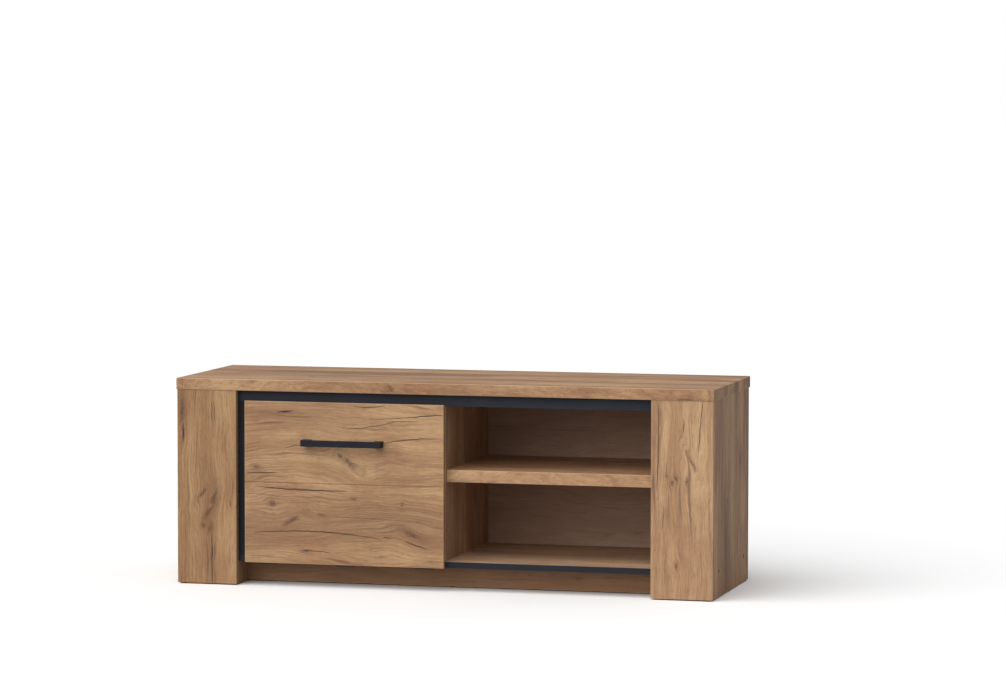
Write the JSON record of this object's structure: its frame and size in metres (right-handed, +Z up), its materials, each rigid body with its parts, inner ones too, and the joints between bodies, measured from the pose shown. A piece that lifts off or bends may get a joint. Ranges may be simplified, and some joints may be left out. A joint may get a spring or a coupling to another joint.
{
  "type": "tv stand",
  "caption": "Low oak-faced TV stand: a drop-down door with a black bar handle on the left, two open bays on the right, wide pilasters at both ends and black trim around the bays.",
  "frame": {"origin": "on the floor, under the middle of the bounding box", "axes": "+X to the right seen from the front, +Y towards the wall behind, +Z up"},
  "size_m": [1.46, 0.505, 0.55],
  "materials": {
    "oak_board": "matte oak-faced board with a fine grain",
    "oak_back": "thin oak-printed hardboard, matte",
    "black_board": "board faced in matte anthracite",
    "black_metal": "matte black powder coat",
    "steel": "zinc-plated pressed steel",
    "bronzed_steel": "dark bronzed steel, satin",
    "screw_steel": "zinc-plated steel",
    "zinc": "bare zinc die casting",
    "beech": "fluted beech",
    "brown_plastic": "matte brown",
    "black_plastic": "matte black",
    "white_plastic": "satin white",
    "ferrite": "sintered, dull dark grey",
    "clear_rubber": "translucent soft pads"
  },
  "bodies": {
    "cabinet": {"top_panel": "oak_board", "left_outer_side": "oak_board", "right_outer_side": "oak_board", "left_pilaster_front": "oak_board", "right_pilaster_front": "oak_board", "left_inner_side": "oak_board", "right_inner_side": "oak_board", "left_base_side": "oak_board", "right_base_side": "oak_board", "bottom_panel": "oak_board", "divider": "oak_board", "middle_shelf": "oak_board", "front_plinth": "oak_board", "rear_plinth": "oak_board", "centre_support": "oak_board", "back_panel_left": "oak_back", "back_panel_right": "oak_back", "top_rail": "black_board", "filler_strip": "black_board", "bottom_edge_band": "black_board", "hinge_cabinet_leaves": "bronzed_steel", "hinge_pins": "bronzed_steel", "hinge_cabinet_screws": "bronzed_steel", "catch_poles": "steel", "stay_wall_bracket": "steel", "stay_wall_pivot": "steel", "confirmat_screws": "screw_steel", "divider_screws": "screw_steel", "rail_screws": "screw_steel", "filler_screws": "screw_steel", "catch_screws": "screw_steel", "stay_wall_screws": "screw_steel", "back_nails": "screw_steel", "cam_bolts": "screw_steel", "shelf_pins": "screw_steel", "cam_locks": "zinc", "wood_dowels": "beech", "screw_caps": "brown_plastic", "back_joint_strip": "brown_plastic", "floor_glides": "black_plastic", "corner_blocks": "black_plastic", "catch_body": "white_plastic", "catch_magnet": "ferrite", "door_bumpers": "clear_rubber"},
    "flap_door": {"door_panel": "oak_board", "door_handle": "black_metal", "handle_screws": "screw_steel", "hinge_door_leaves": "bronzed_steel", "hinge_door_screws": "bronzed_steel", "strike_plate": "steel", "strike_screws": "screw_steel", "stay_door_bracket": "steel", "stay_door_screws": "screw_steel", "stay_door_pivot": "steel"},
    "stay_upper_link": {"stay_upper_link": "steel", "stay_elbow_pivot": "steel"},
    "stay_lower_link": {"stay_lower_link": "steel"}
  },
  "joints": [
    {"name": "flap_hinge", "type": "hinge", "parent": "cabinet", "child": "flap_door", "pos_m": [-0.2665, -0.2035, 0.06], "axis": [1, 0, 0], "range_deg": [0, 90]},
    {"name": "stay_wall_joint", "type": "hinge", "parent": "cabinet", "child": "stay_upper_link", "pos_m": [-0.013, -0.1155, 0.15], "axis": [1, 0, 0], "range_deg": [0, 90]},
    {"name": "stay_door_joint", "type": "hinge", "parent": "flap_door", "child": "stay_lower_link", "pos_m": [-0.016, -0.1905, 0.183], "axis": [1, 0, 0], "range_deg": [-90, 0]}
  ],
  "couplings": [
    {"joint": "stay_wall_joint", "follows": "flap_hinge", "ratio": 1},
    {"joint": "stay_door_joint", "follows": "flap_hinge", "ratio": -1}
  ]
}
